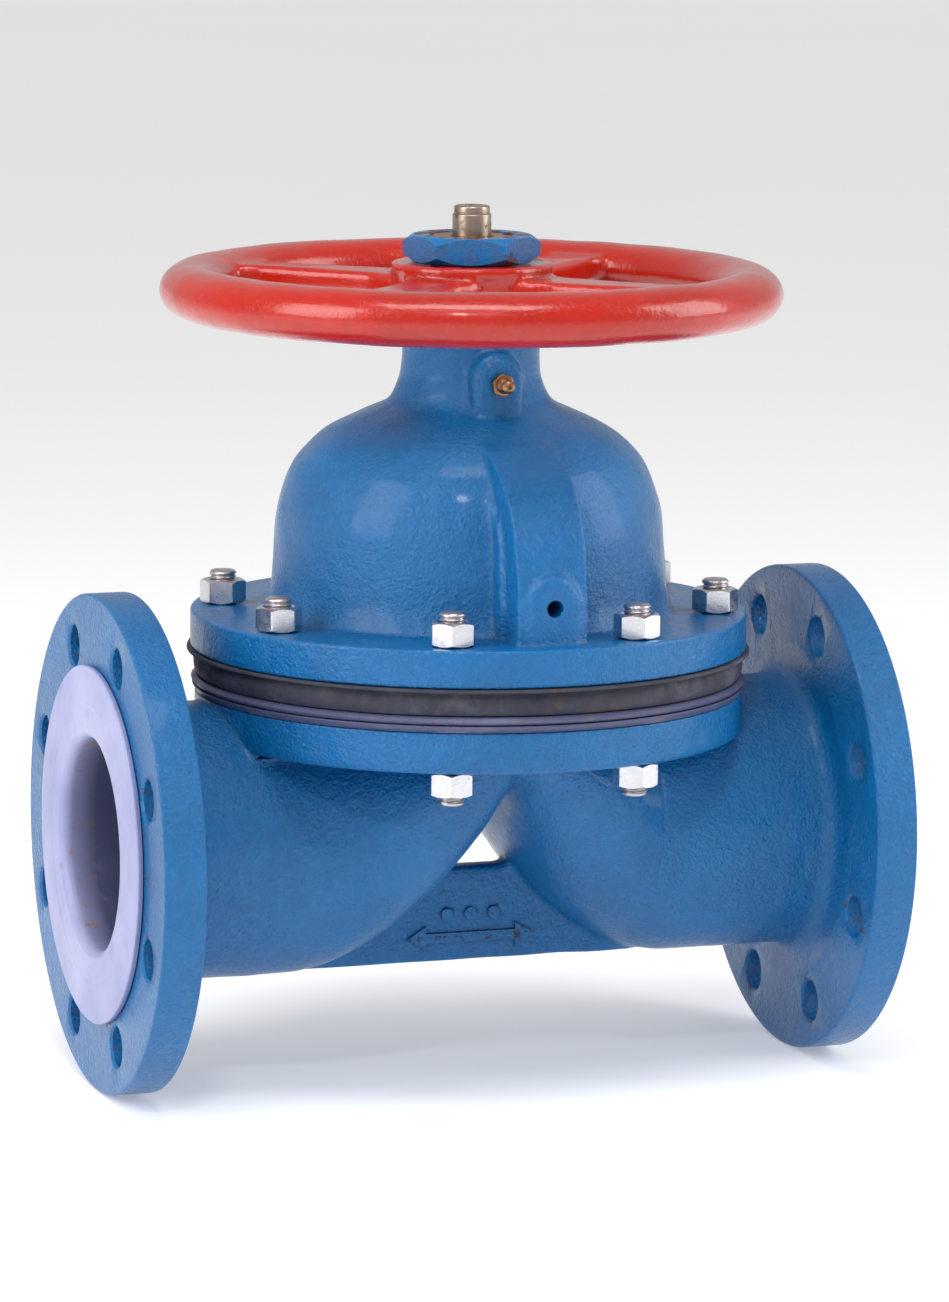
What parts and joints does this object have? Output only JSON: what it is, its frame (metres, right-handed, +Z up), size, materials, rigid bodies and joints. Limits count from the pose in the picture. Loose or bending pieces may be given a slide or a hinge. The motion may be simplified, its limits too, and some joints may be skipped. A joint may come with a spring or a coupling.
{
  "type": "flanged diaphragm valve",
  "caption": "Lined weir-type diaphragm valve with flanged ends, a bell bonnet, a rising stem and a four-spoke handwheel that squeezes a rubber diaphragm onto the weir.",
  "frame": {"origin": "on the pipe axis, midway between the two end flange faces", "axes": "+X along the pipe from the inlet to the outlet, +Z up along the stem, +Y across the pipe"},
  "size_m": [0.35, 0.275, 0.3868],
  "materials": {
    "blue_casting_paint": "semi-gloss blue enamel over a sand-cast surface",
    "blue_nut_paint": "thin blue enamel, chipped on the corners",
    "red_wheel_paint": "glossy orange-red enamel",
    "white_fluoropolymer": "milky white moulded lining, satin",
    "black_rubber": "charcoal rubber, dusty matt",
    "bright_steel": "turned steel",
    "stem_steel": "oiled threaded steel, brownish grey",
    "zinc_plated_steel": "bright zinc plating",
    "bronze": "machined bronze",
    "brass": "machined brass",
    "cast_iron": "unpainted grey iron"
  },
  "bodies": {
    "valve_housing": {"valve_body": "blue_casting_paint", "bonnet": "blue_casting_paint", "body_lining": "white_fluoropolymer", "diaphragm_face": "white_fluoropolymer", "diaphragm_backing": "black_rubber", "dust_seal": "black_rubber", "stem_oring": "black_rubber", "lower_thrust_washer": "bright_steel", "upper_thrust_washer": "bright_steel", "bearing_retainer": "bright_steel", "grease_nipple": "brass", "bonnet_stud_1": "zinc_plated_steel", "bonnet_stud_2": "zinc_plated_steel", "bonnet_stud_3": "zinc_plated_steel", "bonnet_stud_4": "zinc_plated_steel", "bonnet_stud_5": "zinc_plated_steel", "bonnet_stud_6": "zinc_plated_steel", "bonnet_stud_7": "zinc_plated_steel", "bonnet_stud_8": "zinc_plated_steel", "top_nut_1": "zinc_plated_steel", "top_nut_2": "zinc_plated_steel", "top_nut_3": "zinc_plated_steel", "top_nut_4": "zinc_plated_steel", "top_nut_5": "zinc_plated_steel", "top_nut_6": "zinc_plated_steel", "top_nut_7": "zinc_plated_steel", "top_nut_8": "zinc_plated_steel", "bottom_nut_1": "zinc_plated_steel", "bottom_nut_2": "zinc_plated_steel", "bottom_nut_3": "zinc_plated_steel", "bottom_nut_4": "zinc_plated_steel"},
    "handwheel_assembly": {"handwheel": "red_wheel_paint", "handwheel_key": "bright_steel", "handwheel_locknut": "blue_nut_paint", "sleeve_nut": "bronze"},
    "stem_assembly": {"stem": "stem_steel", "compressor": "cast_iron", "compressor_pin": "bright_steel", "diaphragm_stud": "bright_steel"}
  },
  "joints": [
    {"name": "handwheel_turn", "type": "hinge", "parent": "valve_housing", "child": "handwheel_assembly", "pos_m": [0, 0, 0.2391], "axis": [0, 0, 1], "range_deg": [-3780, 0]},
    {"name": "stem_slide", "type": "slide", "parent": "valve_housing", "child": "stem_assembly", "axis": [0, 0, 1], "range_m": [-0.042, 0], "deforming": ["diaphragm_face", "diaphragm_backing"]}
  ],
  "couplings": [
    {"joint": "stem_slide", "follows": "handwheel_turn", "m_per_rad": 0.00063662}
  ]
}
